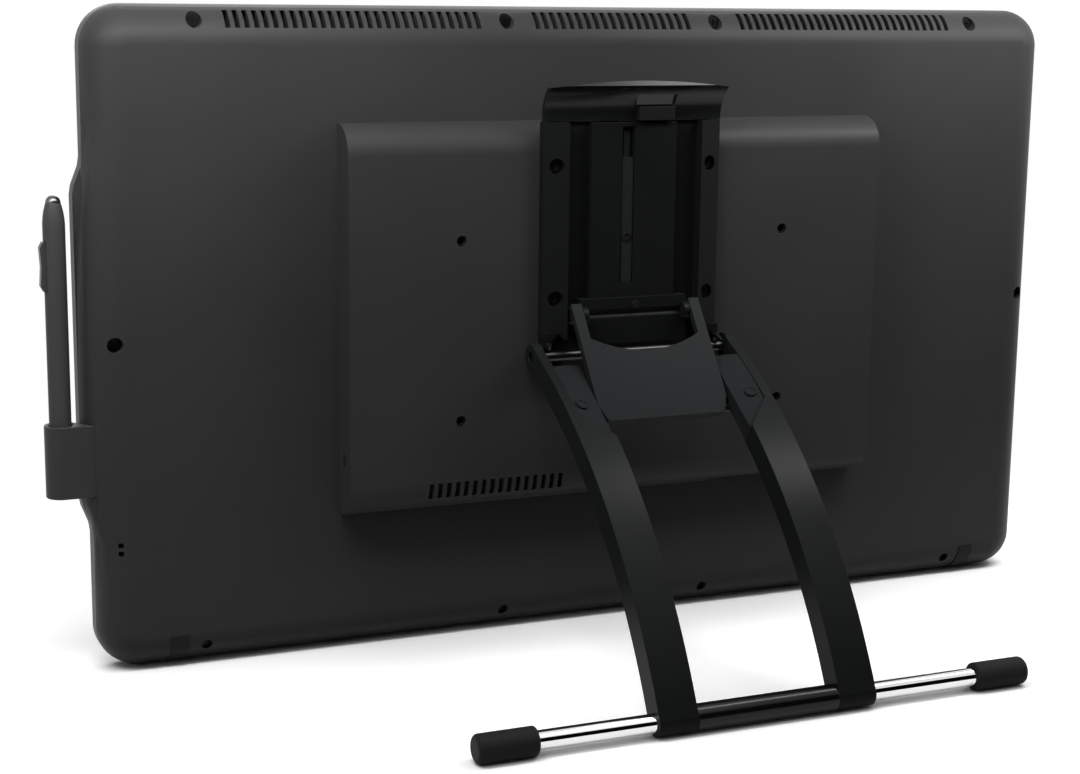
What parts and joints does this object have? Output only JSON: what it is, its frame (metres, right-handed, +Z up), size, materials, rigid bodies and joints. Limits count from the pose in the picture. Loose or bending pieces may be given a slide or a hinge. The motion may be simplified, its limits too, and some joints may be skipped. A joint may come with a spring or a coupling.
{
  "type": "pen display with stand",
  "caption": "Flat pen display with a humped rear cover, a folding two-leg stand with release lever, and a pen held upright in a side socket.",
  "frame": {"origin": "middle of the footprint's box on the desk", "axes": "+X towards the pen's side along the case's width, +Y out of the back of the display, +Z up"},
  "size_m": [0.6186, 0.2245, 0.3556],
  "materials": {
    "cover": "fine moulded grain",
    "frame_plastic": "fine moulded grain",
    "screw": "blackened",
    "insert": "blackened",
    "rubber": "moulded",
    "screen_glass": "etched",
    "panel": "smooth",
    "sheet": "pressed sheet",
    "board": "solder mask",
    "socket": "moulded",
    "key": "moulded",
    "black_metal": "satin black coat",
    "grey_metal": "satin grey coat",
    "steel": "ground",
    "leg_metal": "satin coat",
    "chrome": "plated",
    "pen_grip": "soft coat"
  },
  "bodies": {
    "display": {"rear_cover": "cover", "case_screws": "screw", "vesa_inserts": "insert", "rest_pads": "rubber", "front_bezel": "frame_plastic", "cover_glass": "screen_glass", "lcd_panel": "panel", "backlight_unit": "sheet", "sensor_board": "board", "chassis_plate": "sheet", "main_board": "board", "key_board": "board", "port_block": "socket", "stand_bracket": "black_metal", "guide_plate": "black_metal", "bracket_screws": "screw", "lever_pin": "steel", "hinge_shaft": "steel", "pen_holder": "frame_plastic"},
    "lever": {"release_lever": "cover", "latch_hook": "socket"},
    "lock": {"lock_bar": "grey_metal", "lock_screw": "screw"},
    "carriage": {"carriage": "black_metal", "carriage_pins": "steel", "carriage_screw": "screw"},
    "legs": {"leg_left": "leg_metal", "leg_right": "leg_metal", "cheek_left": "grey_metal", "cheek_right": "grey_metal", "brace_pin": "steel", "pin_keepers": "grey_metal", "foot_tube": "chrome", "foot_sleeve": "rubber", "foot_cap_left": "rubber", "foot_cap_right": "rubber"},
    "brace": {"brace_plate": "grey_metal"},
    "pen": {"pen_barrel": "pen_grip", "pen_tail_cap": "chrome"},
    "pen_switch": {"pen_switch": "key"},
    "pen_nib": {"pen_nib": "socket"},
    "function_key_1": {"function_key_1": "key"},
    "function_key_2": {"function_key_2": "key"},
    "function_key_3": {"function_key_3": "key"},
    "function_key_4": {"function_key_4": "key"},
    "power_key": {"power_key": "key"}
  },
  "joints": [
    {"name": "stand_tilt", "type": "hinge", "parent": "display", "child": "legs", "pos_m": [-0.0123, -0.05525, 0.1651], "axis": [1, 0, 0], "range_deg": [0, 85]},
    {"name": "brace_fold", "type": "hinge", "parent": "legs", "child": "brace", "pos_m": [-0.0123, -0.01675, 0.1371], "axis": [1, 0, 0], "range_deg": [-94, 1]},
    {"name": "carriage_slide", "type": "slide", "parent": "display", "child": "carriage", "axis": [0, 0, 1], "range_m": [-0.0005, 0.0695]},
    {"name": "lever_squeeze", "type": "hinge", "parent": "display", "child": "lever", "pos_m": [-0.0123, -0.06305, 0.29665], "axis": [1, 0, 0], "range_deg": [-0.5, 12.5]},
    {"name": "lock_lift", "type": "slide", "parent": "display", "child": "lock", "axis": [0, 0, 1], "range_m": [0, 0.00115], "stiffness_N_per_m": 600, "springref_m": -0.002},
    {"name": "pen_lift", "type": "slide", "parent": "display", "child": "pen", "axis": [0, 0, 1], "range_m": [0, 0.15]},
    {"name": "switch_rock", "type": "hinge", "parent": "pen", "child": "pen_switch", "pos_m": [0.3046, -0.09925, 0.2211], "axis": [0, 1, 0], "range_deg": [-3, 3], "stiffness_Nm_per_rad": 0.02},
    {"name": "nib_press", "type": "slide", "parent": "pen", "child": "pen_nib", "axis": [0, 0, 1], "range_m": [0, 0.0004], "stiffness_N_per_m": 400, "springref_m": -0.0005},
    {"name": "key_1_press", "type": "slide", "parent": "display", "child": "function_key_1", "axis": [0, 1, 0], "range_m": [0, 0.0005], "stiffness_N_per_m": 800, "springref_m": -0.001},
    {"name": "key_2_press", "type": "slide", "parent": "display", "child": "function_key_2", "axis": [0, 1, 0], "range_m": [0, 0.0005], "stiffness_N_per_m": 800, "springref_m": -0.001},
    {"name": "key_3_press", "type": "slide", "parent": "display", "child": "function_key_3", "axis": [0, 1, 0], "range_m": [0, 0.0005], "stiffness_N_per_m": 800, "springref_m": -0.001},
    {"name": "key_4_press", "type": "slide", "parent": "display", "child": "function_key_4", "axis": [0, 1, 0], "range_m": [0, 0.0005], "stiffness_N_per_m": 800, "springref_m": -0.001},
    {"name": "power_press", "type": "slide", "parent": "display", "child": "power_key", "axis": [0, 1, 0], "range_m": [0, 0.0005], "stiffness_N_per_m": 800, "springref_m": -0.001}
  ],
  "couplings": [
    {"joint": "brace_fold", "follows": "stand_tilt", "ratio": -1.0928},
    {"joint": "carriage_slide", "follows": "stand_tilt", "m_per_rad": 0.046201},
    {"joint": "lever_squeeze", "follows": "lock_lift", "rad_per_m": 182}
  ]
}
